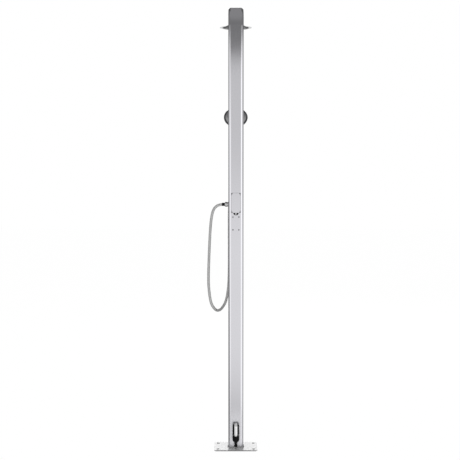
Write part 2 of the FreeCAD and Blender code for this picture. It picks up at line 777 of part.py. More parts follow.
def make_hose(start, end, arriving):
    before_end = end - arriving * hose_last_run
    route = [start] + [Vector(*p) for p in hose_route] + [before_end, end]
    line, radii = hose_line(route)
    section = Part.Wire(Part.makeCircle(hose_radius, start, X))
    hose = line.makePipeShell([section], True, False)
    expected = math.pi * hose_radius**2 * line.Length
    print("hose length, mm: %.0f" % line.Length)
    print("hose volume over section times length: %.4f" % (hose.Volume / expected))
    print("hose arc radii, mm:", " ".join("%.0f" % r for r in radii))
    runs = [(b - a).Length for a, b in zip(route, route[1:])]
    print("hose runs, mm:", " ".join("%.0f" % r for r in runs))
    print("hose last point before the end:", before_end)
    parts["shower_hose"] = hose


# Hand shower, built upright about its own handle and then tilted into the holder


def tilted(shape):
    place = Vector(0, front_face - holder_reach, holder_height)
    turn = Placement(place, Rotation(X, holder_tilt))
    shape = shape.copy()
    shape.Placement = turn.multiply(shape.Placement)
    return shape


def handle_axis():
    angle = math.radians(holder_tilt)
    return Vector(0, -math.sin(angle), math.cos(angle))


def holder_screw_places():
    return (-holder_flange * 0.68, holder_flange * 0.68)


def make_holder():
    centre = Vector(0, 0, holder_height)
    flange_front = front_face - holder_flange_thick
    stem_end = front_face - holder_stem_reach
    base = rod(holder_flange, holder_flange_thick, centre + Y * front_face, -Y)
    base = base.makeFillet(1.5, [e for e in base.Edges if abs(e.CenterOfMass.y - flange_front) < 0.01])
    base = base.fuse([rod(holder_stem, stem_end * -1 + flange_front, centre + Y * flange_front, -Y),
                      rod(holder_spigot, 9, centre + Y * stem_end, -Y)])
    screws = []
    for x in holder_screw_places():
        place = centre + Vector(x, flange_front, 0)
        length = holder_flange_thick + screw_length
        base = base.cut(turned(
            [(0, 0), (small_head / 2 + 0.05, 0), (small_screw / 2 + 0.05, (small_head - small_screw) / 2),
             (small_screw / 2 + 0.05, length), (0, length)], place, Y))
        screws.append(countersunk(small_head, small_screw, length, place, Y))
    parts["holder_base"] = base.removeSplitter()
    parts["holder_screws"] = Part.makeCompound(screws)

    half = ring_height / 2
    collar = tilted(rod(ring_radius, ring_height, Vector(0, 0, -half), Z))
    boss_length = holder_reach - holder_stem_reach - 6
    boss = rod(holder_stem, boss_length, centre + Y * stem_end, -Y)
    wide = cone_middle + cone_fit
    seat = tilted(turned([(0, -half - 5), (wide - cone_taper * (half + 5), -half - 5),
                          (wide + cone_taper * (half + 5), half + 5), (0, half + 5)]))
    slot = tilted(Part.makeBox(ring_slot, 2 * ring_radius, ring_height + 10,
                               Vector(-ring_slot / 2, -2 * ring_radius, -half - 5)))
    holder = collar.fuse(boss).cut([seat, slot])
    holder = holder.cut(rod(holder_spigot + 0.05, 9.1, centre + Y * stem_end, -Y))
    grub_y = stem_end - 5
    holder = holder.cut(rod(2.05, holder_stem, centre + Vector(0, grub_y, -holder_stem - 1), Z))
    parts["holder_ring"] = holder.removeSplitter()
    tip = -holder_spigot - 0.05
    foot = centre + Vector(0, grub_y, -holder_stem + 0.5)
    parts["holder_grub_screw"] = rod(2, tip + holder_stem - 0.5, foot, Z)


def head_frame():
    """Where the hand shower's round face sits on its handle: Z points out of its back."""
    return Placement(Vector(0, -face_forward, face_up), Rotation(X, -(90 - face_tilt)))


def on_head(shape):
    shape = shape.copy()
    shape.Placement = head_frame().multiply(shape.Placement)
    return shape


def face_dome_outline(inset):
    """Outline of the head's back, moved inwards by a wall thickness."""
    foot = face_radius - face_brim
    rise = face_dome - inset
    base = face_brim_thick if inset == 0 else face_inset + face_plate
    foot = foot - inset
    sphere = (foot**2 + (rise - base) ** 2) / (2 * (rise - base))
    centre = rise - sphere
    half_way = foot / 2
    return foot, base, rise, (half_way, centre + math.sqrt(sphere**2 - half_way**2))


def make_handset():
    foot, base, rise, passing = face_dome_outline(0)
    inner_foot, inner_base, inner_rise, inner_passing = face_dome_outline(face_wall)
    skin = turned([(0, 0), (face_radius - 0.6, 0), (face_radius, 0.6), (face_radius, face_brim_thick - 0.8),
                   (face_radius - 0.8, face_brim_thick), (foot, base), (0, rise, passing)])
    plate_seat = face_radius - 2.5
    cavity = turned([(0, -1), (plate_seat, -1), (plate_seat, face_inset + face_plate),
                     (inner_foot, inner_base), (0, inner_rise, inner_passing)])
    in_front = rod(face_radius, face_radius, Vector(0, 0, -face_radius), Z)

    neck_sections = [(0, grip_top, grip_waist, 0), (-2.5, grip_top + 22, grip_waist + 0.2, 8),
                     (-9, grip_top + 45, grip_waist - 1.6, 16), (-17, grip_top + 65, grip_waist - 6, 22)]
    wires = []
    for y, z, radius, lean in neck_sections:
        angle = math.radians(lean)
        normal = Vector(0, -math.sin(angle), math.cos(angle))
        wires.append(Part.Wire(Part.makeCircle(radius, Vector(0, y, z), normal)))
    neck = Part.makeLoft(wires, True, False)
    seat = cone_middle + cone_taper * cone_top
    thread = 8.5
    grip = turned([(0, cone_top - 11), (thread, cone_top - 11), (thread, cone_top), (seat, cone_top),
                   (grip_waist, grip_top, (grip_radius, cone_top + 0.4 * (grip_top - cone_top))),
                   (0, grip_top)])
    handle = grip.fuse(neck).removeSplitter()
    handle = handle.cut([on_head(cavity), on_head(in_front)])
    body = handle.fuse(on_head(skin.cut(cavity)))
    waterway = rod(handset_bore, grip_top + 8, Vector(0, 0, 0), Z)
    into_head = Vector(0, -16, 31)
    branch = rod(handset_bore - 1.5, into_head.Length, Vector(0, 0, grip_top + 5), into_head)
    body = body.cut([waterway, branch])
    body = max(body.Solids, key=lambda s: s.Volume)
    parts["handset_body"] = tilted(body.removeSplitter())

    # Spray face: a plate with holes, and a soft mat behind it whose nubs stand out of them
    plate = rod(plate_seat - 0.1, face_plate, Vector(0, 0, face_inset), Z)
    mat_radius = inner_foot - 3.5 * mat_thick
    plate, mat = spray_pair(plate, face_rings, face_ring_step, face_inset, face_plate, mat_radius)
    parts["handset_face"] = tilted(on_head(plate))
    parts["handset_nozzles"] = tilted(on_head(mat))

    cone = turned(
        [(hose_radius - 2, cone_bottom), (cone_middle + cone_taper * cone_bottom - 1, cone_bottom),
         (cone_middle + cone_taper * cone_bottom, cone_bottom + 1), (seat, cone_top),
         (thread + 0.05, cone_top), (thread + 0.05, cone_top - 11.1), (hose_radius - 2, cone_top - 11.1)])
    parts["hose_cone"] = tilted(cone)
    inside = hose_radius + sleeve_fit
    sleeve = ring(inside + sleeve_wall, inside, sleeve_length, Vector(0, 0, cone_bottom), -Z)
    parts["upper_sleeve"] = tilted(sleeve)
    axis = handle_axis()
    return Vector(0, front_face - holder_reach, holder_height) + axis * cone_bottom, axis


def octagon(radius, x, y, z):
    angles = [(k + 0.5) * math.pi / 4 for k in range(9)]
    return Part.makePolygon([Vector(x + radius * math.cos(a), y + radius * math.sin(a), z) for a in angles])


def spray_pair(plate, rings, step, bottom, thick, mat_radius):
    """Bore a spray plate whose lower face is at bottom, and make the mat behind it."""
    top = bottom + thick
    mat = rod(mat_radius, mat_thick, Vector(0, 0, top), Z)
    holes = []
    nubs = []
    for x, y in ring_places(rings, step):
        low = octagon(nub_radius + nub_fit, x, y, bottom)
        holes.append(Part.Face(low).extrude(Z * thick))
        tip = octagon(nub_radius - nub_taper, x, y, bottom - nub_reach)
        root = octagon(nub_radius, x, y, top + mat_thick / 2)
        nubs.append(Part.makeLoft([tip, root], True, True))
    return plate.cut(holes), mat.fuse(nubs)


# Rain head: a thin brimmed dome on a ball joint


def make_rain_head():
    brim = Vector(0, -head_reach, brim_height)
    half = sheet / 2
    sphere = (dome_base**2 + dome_rise**2) / (2 * dome_rise)
    low = dome_rise - sphere

    def dome_height(radius, inset):
        return low + math.sqrt((sphere - inset) ** 2 - radius**2)

    def dome_radius(height, inset):
        return math.sqrt((sphere - inset) ** 2 - (height - low) ** 2)

    outer_foot = dome_radius(half, 0)
    inner_foot = dome_radius(-half, sheet)
    shell = turned(
        [(hub_hole, dome_height(hub_hole, sheet)),
         (inner_foot, -half, (inner_foot * 0.6, dome_height(inner_foot * 0.6, sheet))),
         (brim_radius - half, -half),
         (brim_radius - half, half, (brim_radius, 0)),
         (outer_foot, half),
         (hub_hole, dome_height(hub_hole, 0), (outer_foot * 0.6, dome_height(outer_foot * 0.6, 0)))], brim)
    parts["head_shell"] = shell

    # Ball joint, heights measured from the ball's centre
    ball = brim + Z * ball_rise
    to_flange = arm_bottom - head_flange_thick - ball.z
    flat = -math.sqrt(ball_radius**2 - (ball_bore + 1.3) ** 2)
    neck_at = math.sqrt(ball_radius**2 - ball_neck**2)
    thread_top = arm_bottom + post_wall + 14 - ball.z
    parts["head_nipple"] = turned(
        [(ball_bore, flat), (ball_bore + 1.3, flat), (ball_neck, neck_at, (ball_radius, 0)),
         (ball_neck, to_flange), (head_flange, to_flange), (head_flange, arm_bottom - ball.z),
         (head_thread, arm_bottom - ball.z), (head_thread, thread_top), (ball_bore, thread_top)], ball)

    def on_sphere(radius, degrees):
        angle = math.radians(degrees)
        return radius * math.cos(angle), radius * math.sin(angle)

    inside = ball_radius + ball_fit
    outside = inside + cup_wall
    parts["ball_cup"] = cup_solid(inside, outside, ball)

    seat = outside + ball_fit
    top_r, top_h = on_sphere(seat, 45)
    shoulder = dome_height(hub_hole, sheet) - ball_rise - 0.02
    shoulder_edge = dome_height(hub_radius, sheet) - ball_rise - 0.02
    collar_top = dome_height(hub_hole, 0) - ball_rise - 0.1
    skirt = -ball_rise + 1
    parts["head_hub"] = turned(
        [(seat, 0), (top_r, top_h, on_sphere(seat, 22)), (top_r + 0.4, collar_top),
         (hub_hole - 0.05, collar_top), (hub_hole - 0.05, shoulder), (hub_radius, shoulder_edge - 0.3),
         (hub_radius, skirt), (retainer_radius, skirt), (retainer_radius, 0)], ball)
    low_r, low_h = on_sphere(seat, -44)
    parts["ball_retainer"] = turned(
        [(seat, -0.02), (retainer_radius - 0.03, -0.02), (retainer_radius - 0.03, skirt + 0.2),
         (low_r, skirt + 0.2), (low_r, low_h), (seat, -0.02, on_sphere(seat, -22))], ball)

    # Spray plate: a shallow tray under the brim, with three stands up to the hub
    rim_top = -half
    bottom = -half - spray_drop
    pocket = spray_radius - 5
    tray = turned(
        [(0, bottom), (spray_radius - 3, bottom), (spray_radius, rim_top - 1), (spray_radius, rim_top - 0.02),
         (pocket, rim_top - 0.02), (pocket, bottom + spray_floor), (0, bottom + spray_floor)])
    tray, mat = spray_pair(tray, rain_rings, rain_ring_step, bottom, spray_floor, pocket - 0.2)
    screws = []
    for k in range(3):
        angle = math.radians(120 * k + 30)
        place = Vector(stand_radius * math.cos(angle), stand_radius * math.sin(angle), bottom)
        stand = rod(2.6, 1 - bottom - spray_floor, place + Z * spray_floor, Z)
        head = turned([(0, 0), (2.3, 0), (1.25, 1.05), (1.25, 10), (0, 10)], place, Z)
        tray = tray.fuse(stand).cut(head)
        mat = mat.cut(rod(2.65, 10, place, Z))
        screw = turned([(0, 0), (2.25, 0), (1.2, 1.05), (1.2, 8), (0, 8)], place, Z)
        screws.append(screw.cut(hexagon(1.3, 0.8, place, Z)).translated(brim))
        parts["head_hub"] = parts["head_hub"].cut(rod(1.25, 8, brim + place, Z))
    parts["spray_plate"] = tray.removeSplitter().translated(brim)
    parts["spray_nozzles"] = mat.translated(brim)
    parts["spray_screws"] = Part.makeCompound(screws)
    parts["head_seal"] = ring(spray_radius - 2.6, spray_radius - 4.8, 0.7, brim + Z * (rim_top), Z)
    return ball.z + thread_top


def cup_solid(inside, outside, ball):
    """A thin two-sided spherical liner between the ball and its seat."""
    low, high = math.radians(-38), math.radians(42)

    def at(radius, angle):
        return Vector(radius * math.cos(angle), 0, radius * math.sin(angle))

    edges = [
        Part.Arc(at(outside, low), at(outside, 0), at(outside, high)).toShape(),
        Part.LineSegment(at(outside, high), at(inside, high)).toShape(),
        Part.Arc(at(inside, high), at(inside, 0), at(inside, low)).toShape(),
        Part.LineSegment(at(inside, low), at(outside, low)).toShape(),
    ]
    solid = Part.Face(Part.Wire(edges)).revolve(Vector(0, 0, 0), Z, 360)
    return solid.translated(ball)


def make_head_socket(nipple_top):
    """Elbow inside the arm, from the riser pipe down to the head's nipple."""
    floor = arm_bottom + post_wall
    centre = Vector(0, -head_reach, floor)
    body = rod(socket_radius, riser_arm_z - floor, centre, Z)
    body = body.fuse(Part.makeSphere(socket_radius, Vector(0, -head_reach, riser_arm_z - 2)).common(
        rod(socket_radius, 13.8, Vector(0, -head_reach, riser_arm_z - 2), Z)))
    branch = rod(9, socket_radius, Vector(0, -head_reach, riser_arm_z), Y)
    body = body.fuse(branch)
    body = body.cut(rod(head_thread + 0.05, nipple_top - floor + 0.2, centre, Z))
    body = body.cut(rod(ball_bore, riser_arm_z - floor, centre, Z))
    body = body.cut(rod(pipe_radius + pipe_fit, 7, Vector(0, -head_reach + socket_radius, riser_arm_z), -Y))
    body = body.cut(rod(ball_bore, socket_radius, Vector(0, -head_reach, riser_arm_z), Y))
    parts["head_socket"] = body


def main():
    make_post()
    make_foot()
    make_end_cap()
    make_panel()
    make_bracket()
    elbow_line, groove_y, elbow_top = make_inlet_fixed()
    collar, thread_low = make_inlet_elbow(elbow_line, groove_y)
    make_adaptor(elbow_line, collar, thread_low)
    make_pipes(elbow_top)
    gland_face = make_valve()
    make_control(gland_face)
    hose_start = make_outlet()
    make_holder()
    hose_end, arriving = make_handset()
    make_hose(hose_start, hose_end, arriving)
    nipple_top = make_rain_head()
    make_head_socket(nipple_top)
    os.makedirs("parts", exist_ok=True)
    for name, shape in parts.items():
        if not shape.isValid() or not shape.Solids:
            print("check", name, shape.ShapeType, shape.isValid(), len(shape.Solids))
        shape.exportStep("parts/%s.step" % name)
    print(len(parts), "nodes")


main()
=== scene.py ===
import bpy
import math
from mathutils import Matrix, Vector


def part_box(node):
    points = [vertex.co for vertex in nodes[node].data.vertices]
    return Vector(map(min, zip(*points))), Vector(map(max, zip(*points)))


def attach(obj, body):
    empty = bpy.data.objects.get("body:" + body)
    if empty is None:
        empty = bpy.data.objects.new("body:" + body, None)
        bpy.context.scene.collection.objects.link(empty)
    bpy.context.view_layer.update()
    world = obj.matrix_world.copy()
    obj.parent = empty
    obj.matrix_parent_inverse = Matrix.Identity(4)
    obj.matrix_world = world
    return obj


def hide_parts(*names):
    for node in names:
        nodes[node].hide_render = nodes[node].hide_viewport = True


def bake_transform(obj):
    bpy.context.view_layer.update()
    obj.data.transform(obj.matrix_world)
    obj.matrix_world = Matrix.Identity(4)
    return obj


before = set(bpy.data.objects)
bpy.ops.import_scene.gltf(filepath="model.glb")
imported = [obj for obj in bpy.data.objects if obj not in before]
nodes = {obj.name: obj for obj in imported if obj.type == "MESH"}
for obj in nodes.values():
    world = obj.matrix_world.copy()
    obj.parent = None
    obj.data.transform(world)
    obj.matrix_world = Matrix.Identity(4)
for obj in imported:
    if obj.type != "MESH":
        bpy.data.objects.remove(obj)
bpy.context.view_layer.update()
scene = bpy.context.scene
scene.view_settings.view_transform = "Standard"
print("frame loaded:", len(nodes), "nodes")


# camera

cameraSettings = {
    "place": (0.0297, 5.2842, 1.5446),
    "down": 4.66,           # degrees below the horizon
    "turn": 180.0,          # looks along -Y, at the back of the post
    "lens": 82.49,
    "sensor": 36.0,
    "nearest": 0.05,
    "farthest": 60.0,
}


def makeCamera(s):
    data = bpy.data.cameras.new("camera")
    data.lens = s["lens"]
    data.sensor_width = s["sensor"]
    data.clip_start = s["nearest"]
    data.clip_end = s["farthest"]
    camera = bpy.data.objects.new("camera", data)
    camera.location = s["place"]
    camera.rotation_euler = (math.radians(90 - s["down"]), 0, math.radians(s["turn"]))
    scene.collection.objects.link(camera)
    scene.camera = camera


makeCamera(cameraSettings)
print("camera set")


# a socket that can stand in a plain expression, which adds its Math nodes

class Wire:
    def __init__(self, tree, socket):
        self.tree = tree
        self.socket = socket

    def calc(self, operation, *values):
        node = self.tree.nodes.new("ShaderNodeMath")
        node.operation = operation
        for value, inlet in zip(values, node.inputs):
            join(self.tree, value, inlet)
        return Wire(self.tree, node.outputs[0])

    def __add__(self, other):
        return self.calc("ADD", self, other)

    def __radd__(self, other):
        return self.calc("ADD", other, self)

    def __sub__(self, other):
        return self.calc("SUBTRACT", self, other)

    def __rsub__(self, other):
        return self.calc("SUBTRACT", other, self)

    def __mul__(self, other):
        return self.calc("MULTIPLY", self, other)

    def __rmul__(self, other):
        return self.calc("MULTIPLY", other, self)

    def __truediv__(self, other):
        return self.calc("DIVIDE", self, other)

    def __rtruediv__(self, other):
        return self.calc("DIVIDE", other, self)

    def __pow__(self, other):
        return self.calc("POWER", self, other)

    def __rpow__(self, other):
        return self.calc("POWER", other, self)

    def abs(self):
        return self.calc("ABSOLUTE", self)

    def cosine(self):
        return self.calc("COSINE", self)

    def positive(self):
        return self.calc("MAXIMUM", self, 0.0)


def join(tree, value, inlet):
    if isinstance(value, Wire):
        tree.links.new(value.socket, inlet)
    elif isinstance(value, tuple) and inlet.type == "RGBA":
        inlet.default_value = (*value, 1)
    else:
        inlet.default_value = value


class Graph:
    def __init__(self, tree):
        self.tree = tree

    def node(self, kind, settings, values, out=0):
        node = self.tree.nodes.new(kind)
        for key, value in settings.items():
            setattr(node, key, value)
        for key, value in values.items():
            join(self.tree, value, node.inputs[key])
        if isinstance(out, tuple):
            return [Wire(self.tree, node.outputs[each]) for each in out]
        return Wire(self.tree, node.outputs[out])


class Shape(Graph):
    # a Geometry Nodes tree with named sizes
    def __init__(self, name, sizes):
        super().__init__(bpy.data.node_groups.new(name, "GeometryNodeTree"))
        for title, kind in sizes.items():
            self.tree.interface.new_socket(title, in_out="INPUT", socket_type="NodeSocket" + kind)
        self.tree.interface.new_socket("Piece", in_out="OUTPUT", socket_type="NodeSocketGeometry")
        self.start = self.tree.nodes.new("NodeGroupInput")

    def size(self, title):
        return Wire(self.tree, self.start.outputs[title])

    def finish(self, result):
        smooth = self.node("GeometryNodeSetShadeSmooth", {}, {"Geometry": result})
        real = self.node("GeometryNodeRealizeInstances", {}, {0: smooth})
        paint = self.node("GeometryNodeSetMaterial", {}, {
            "Geometry": real, "Material": self.size("Finish")})
        end = self.tree.nodes.new("NodeGroupOutput")
        join(self.tree, paint, end.inputs[0])
        return self.tree


class Finish(Graph):
    # the nodes of a material or of the world
    def __init__(self, owner):
        owner.use_nodes = True
        self.owner = owner
        super().__init__(owner.node_tree)
        self.shader = self.tree.nodes.get("Principled BSDF")

    def set(self, **values):
        for key, value in values.items():
            join(self.tree, value, self.shader.inputs[key.replace("_", " ")])

    def axes(self, source="Object"):
        # x, y and z of a point, a normal or a way to look
        place = self.node("ShaderNodeTexCoord", {}, {}, source)
        return self.node("ShaderNodeSeparateXYZ", {}, {0: place}, (0, 1, 2))

    def noise(self, scale, detail=3, stretch=(1, 1, 1)):
        place = self.node("ShaderNodeTexCoord", {}, {}, "Object")
        placed = self.node("ShaderNodeMapping", {}, {"Vector": place, "Scale": stretch})
        return self.node("ShaderNodeTexNoise", {}, {
            "Vector": placed, "Scale": scale, "Detail": detail})

    def range(self, value, low, high):
        # 0 at low, 1 at high and smooth between, also where high is below low
        return self.node("ShaderNodeMapRange", {"interpolation_type": "SMOOTHSTEP"}, {
            "Value": value, "From Min": low, "From Max": high})

    def between(self, part, first, second):
        return self.node("ShaderNodeMix", {}, {0: part, 2: first, 3: second})

    def blend(self, part, first, second):
        return self.node("ShaderNodeMix", {"data_type": "RGBA"}, {0: part, 6: first, 7: second}, 2)

    def bump(self, height, strength, distance=0.0002):
        return self.node("ShaderNodeBump", {}, {
            "Height": height, "Strength": strength, "Distance": distance})


# shower hose

hoseSettings = {
    "radius": 0.007,
    "ribPitch": 0.0034,
    "ribDepth": 0.00022,
    "stepsPerRib": 5,
    "sides": 20,
    "start": (0.0553, 0.0, 1.243),
    "beforeEnd": (0.0, -0.05606, 1.47422),
    "end": (0.0, -0.07179, 1.51745),
    "dark": (0.50, 0.50, 0.495),
    "light": (0.60, 0.60, 0.60),
}

# the route's own points: down the loop at the side, then up along the post's front
hoseRoute = [
    (0.083, 0, 1.243), (0.1065, 0.001, 1.228), (0.119, 0.003, 1.201), (0.127, 0.006, 1.1445),
    (0.1315, 0.005, 1.07), (0.136, 0.004, 0.965), (0.139, 0.011, 0.8575), (0.134, 0.0145, 0.7935),
    (0.127, 0.01, 0.75), (0.116, -0.0015, 0.723), (0.0995, -0.0245, 0.7015), (0.0845, -0.0455, 0.6985),
    (0.0685, -0.0635, 0.709), (0.049, -0.079, 0.7415), (0.038, -0.0785, 0.806), (0.0345, -0.074, 0.872),
    (0.0335, -0.068, 0.975), (0.034, -0.062, 1.0935), (0.034, -0.0585, 1.205), (0.0305, -0.0575, 1.284),
    (0.022, -0.057, 1.365), (0.01, -0.054, 1.424),
]


def routeCurve(points):
    data = bpy.data.curves.new("hoseLine", "CURVE")
    data.dimensions = "3D"
    data.resolution_u = 24
    spline = data.splines.new("NURBS")
    spline.points.add(len(points) - 1)
    for point, place in zip(spline.points, points):
        point.co = (*place, 1)
    spline.order_u = 3
    spline.use_endpoint_u = True
    line = bpy.data.objects.new("hoseLine", data)
    scene.collection.objects.link(line)
    return line


def linePoints(line):
    depsgraph = bpy.context.evaluated_depsgraph_get()
    mesh = bpy.data.meshes.new_from_object(line.evaluated_get(depsgraph))
    points = [v.co.copy() for v in mesh.vertices]
    bpy.data.meshes.remove(mesh)
    return points


def ribbedHoseTree():
    # a tube along the line whose radius swells at each rib
    g = Shape("ribbedHose", {
        "Line": "Geometry", "Radius": "Float", "Rib pitch": "Float", "Rib depth": "Float",
        "Steps per rib": "Int", "Sides": "Int", "Finish": "Material"})
    line = g.node("GeometryNodeResampleCurve", {"mode": "LENGTH"}, {
        "Curve": g.size("Line"), "Length": g.size("Rib pitch") / g.size("Steps per rib")})
    along = g.node("GeometryNodeSplineParameter", {}, {}, "Length")
    turns = along / g.size("Rib pitch")
    swell = g.size("Radius") + g.size("Rib depth") * (turns * (2 * math.pi)).cosine()
    ring = g.node("GeometryNodeCurvePrimitiveCircle", {}, {
        "Resolution": g.size("Sides"), "Radius": 1.0})
    tube = g.node("GeometryNodeCurveToMesh", {}, {
        "Curve": line, "Profile Curve": ring, "Fill Caps": True, "Scale": swell})
    return g.finish(tube)


def runTree(carrier, tree, values, name):
    # runs a Geometry Nodes tree once and keeps its result as a plain mesh
    if carrier is None:
        carrier = bpy.data.objects.new("carrier", bpy.data.meshes.new("carrier"))
        scene.collection.objects.link(carrier)
    modifier = carrier.modifiers.new("tree", "NODES")
    modifier.node_group = tree
    for item in tree.interface.items_tree:
        if item.in_out == "INPUT" and item.name in values:
            modifier[item.identifier] = values[item.name]
    bpy.context.view_layer.update()
    depsgraph = bpy.context.evaluated_depsgraph_get()
    mesh = bpy.data.meshes.new_from_object(carrier.evaluated_get(depsgraph))
    bpy.data.objects.remove(carrier)
    mesh.name = name
    piece = bpy.data.objects.new(name, mesh)
    scene.collection.objects.link(piece)
    return piece


def silverHose(s):
    # silver lining under a clear skin
    f = Finish(bpy.data.materials.new("silverHose"))
    cloud = f.noise(scale=9, detail=2)
    fine = f.noise(scale=1400, detail=2)
    f.set(Base_Color=f.blend(cloud, s["dark"], s["light"]),
          Roughness=0.30 + 0.14 * fine,
          Metallic=0.55,
          Coat_Weight=0.25,
          Coat_Roughness=0.12,
          Normal=f.bump(fine, strength=0.08))
    return f.owner


def makeHose(s):
    line = routeCurve([s["start"], *hoseRoute, s["beforeEnd"], s["end"]])
    path = linePoints(line)
    length = sum((b - a).length for a, b in zip(path, path[1:]))
    hose = runTree(line, ribbedHoseTree(), {
        "Radius": s["radius"] - s["ribDepth"], "Rib pitch": s["ribPitch"], "Rib depth": s["ribDepth"],
        "Steps per rib": s["stepsPerRib"], "Sides": s["sides"], "Finish": silverHose(s)}, "hose")
    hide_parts("shower_hose")
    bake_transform(hose)
    print("hose: %.0f mm, %d faces" % (1000 * length, len(hose.data.polygons)))


makeHose(hoseSettings)


# brushed steel of the post and its panel

postSection = {
    "halfWidth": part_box("post_tube")[1].x,
    "halfDepth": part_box("post_tube")[1].y,
    "corner": 0.013,
    "wall": 0.002,
}

steelSettings = {
    "tint": (0.80, 0.795, 0.832),
    "streaks": 0.95,                # share of the tint that the dark streaks keep
    "grainAcross": 1500,
    "grainAlong": 22,
    "bend": (-0.055, -0.12),        # y between which the grain turns from up to out
    "rough": 0.068,
    "footRough": 0.20,              # a softer mirror near the foot
    "footHeight": (0.26, 0.12),
    # painted shade: the tube's inner skin is coloured near black
    "inner": (0.012, 0.012, 0.013),
    "innerRough": 0.7,
    "innerShadeTop": (2.13, 2.12),       # the painted shade on the inner skin ends below the arm
}

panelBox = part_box("access_panel")

panelRim = {
    "middle": (panelBox[0].z + panelBox[1].z) / 2,
    "halfWidth": panelBox[1].x,
    "halfHeight": (panelBox[1].z - panelBox[0].z) / 2,
    "width": 0.0016,
    "full": 0.6,                    # share of the width that has the full shadow
    "cornerAside": (0.0190, 0.0206),
    "cornerAbove": (0.0360, 0.0390),
    "edgeShadow": 0.62,
    "cornerShadow": 0.34,
    "shade": (0.10, 0.10, 0.105),
}


def innerSkin(f, x, y, post):
    # 1 on the tube's inner skin, told by the distance from the rectangle of its corners' centres
    overX = (x.abs() - (post["halfWidth"] - post["corner"])).positive()
    overY = (y.abs() - (post["halfDepth"] - post["corner"])).positive()
    reach = (overX * overX + overY * overY) ** 0.5
    return f.range(reach, post["corner"] - 0.4 * post["wall"], post["corner"] - 0.6 * post["wall"])


def rimShadow(f, x, z, rim):
    # the shadowed rim of a plate let into the steel, darker at its corners
    aside = x.abs()
    above = (z - rim["middle"]).abs()
    start = rim["width"]
    full = rim["full"] * rim["width"]
    upright = f.range(aside, rim["halfWidth"] - start, rim["halfWidth"] - full)
    level = f.range(above, rim["halfHeight"] - start, rim["halfHeight"] - full)
    edge = 1 - (1 - upright) * (1 - level)
    corner = f.range(aside, *rim["cornerAside"]) * f.range(above, *rim["cornerAbove"])
    return rim["edgeShadow"] * edge + rim["cornerShadow"] * corner


def brushedSteel(name, s, rim=None):
    # fine grain that runs up the post and out along the arm
    f = Finish(bpy.data.materials.new(name))
    x, y, z = f.axes()
    up = f.noise(1, 4, (s["grainAcross"], s["grainAcross"], s["grainAlong"]))
    out = f.noise(1, 4, (s["grainAcross"], s["grainAlong"], s["grainAcross"]))
    grain = f.between(f.range(y, *s["bend"]), up, out)
    cloud = f.noise(scale=3.5)
    # painted shade inside the hollow tube, ending below the arm
    shadedInside = innerSkin(f, x, y, postSection) * f.range(z, *s["innerShadeTop"])
    streak = tuple(s["streaks"] * c for c in s["tint"])
    skin = f.blend(0.5 * grain + 0.5 * cloud, streak, s["tint"])
    if rim:
        skin = f.blend(rimShadow(f, x, z, rim), skin, rim["shade"])
    rough = s["rough"] + s["footRough"] * f.range(z, *s["footHeight"])
    rough = rough + 0.05 * (grain - 0.5) + 0.03 * (cloud - 0.5)
    f.set(Base_Color=f.blend(shadedInside, skin, s["inner"]),
          Roughness=f.between(shadedInside, rough, s["innerRough"]),
          Metallic=1.0,
          Normal=f.bump(grain, strength=0.04))
    return f.owner


# base plate

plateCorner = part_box("base_plate")[1]

plateSettings = {
    "dark": (0.87, 0.87, 0.87),
    "light": (0.95, 0.95, 0.955),
    "grainAcross": 1500,
    "grainAlong": 30,
    "sideFrom": 0.0004,             # painted shade on the cut edge, from here outwards
    "sideFull": 0.0001,
    # colour of the painted shade on the cut edges
    "side": (0.22, 0.22, 0.225),
    "holes": (0.09, 0.0525),
    "holeEdge": (0.0080, 0.0075),
    "holeTop": (0.0006, 0.0002),    # above the plate
    # painted shade in the bolt holes and on a ring round each
    "holeShade": (0.006, 0.006, 0.006),
}


def plateSteel(s, corner):
    # flatter shine than the post, so that the plate shows no sharp mirror image
    f = Finish(bpy.data.materials.new("plateSteel"))
    x, y, z = f.axes()
    grain = f.noise(1, 4, (s["grainAlong"], s["grainAcross"], s["grainAcross"]))
    cloud = f.noise(scale=6)
    offX = x.abs() - s["holes"][0]
    offY = y.abs() - s["holes"][1]
    # painted shade in and round the bolt holes
    disc = f.range((offX * offX + offY * offY) ** 0.5, *s["holeEdge"])
    holeShade = disc * f.range(z, corner.z + s["holeTop"][0], corner.z + s["holeTop"][1])
    # painted shade along the plate's cut edges
    side = (f.range(x.abs(), corner.x - s["sideFrom"], corner.x - s["sideFull"])
            + f.range(y.abs(), corner.y - s["sideFrom"], corner.y - s["sideFull"]))
    skin = f.blend(0.5 * grain + 0.5 * cloud, s["dark"], s["light"])
    skin = f.blend(side, skin, s["side"])
    f.set(Base_Color=f.blend(holeShade, skin, s["holeShade"]),
          Roughness=0.32 + 0.10 * (grain - 0.5) + 0.06 * (cloud - 0.5),
          Metallic=0.72 + 0.1 * cloud,
          Normal=f.bump(grain, strength=0.05))
    return f.owner


# nuts behind the vent

nutSettings = {
    # painted shade for the nuts inside the tube, and a painted highlight down one strip
    "dark": (0.020, 0.020, 0.020),
    "light": (0.045, 0.045, 0.045),
    "ventHighlight": (0.80, 0.80, 0.81),
    "ventHighlightEdge": (0.0034, 0.0018),
}


def nutSteel(s):
    # painted shade: dark as in the tube's shade, with one narrow painted highlight where the vent lets
    # light in
    f = Finish(bpy.data.materials.new("nutSteel"))
    cloud = f.noise(scale=60)
    x, y, z = f.axes()
    ventHighlight = f.range(x.abs(), *s["ventHighlightEdge"])
    f.set(Base_Color=f.blend(ventHighlight, f.blend(cloud, s["dark"], s["light"]), s["ventHighlight"]),
          Roughness=0.22 + 0.10 * cloud,
          Metallic=1.0,
          Normal=f.bump(f.noise(700, 2), strength=0.04))
    return f.owner


# chrome

chromeSettings = {
    "dark": (0.78, 0.79, 0.81),
    "light": (0.86, 0.87, 0.88),
}

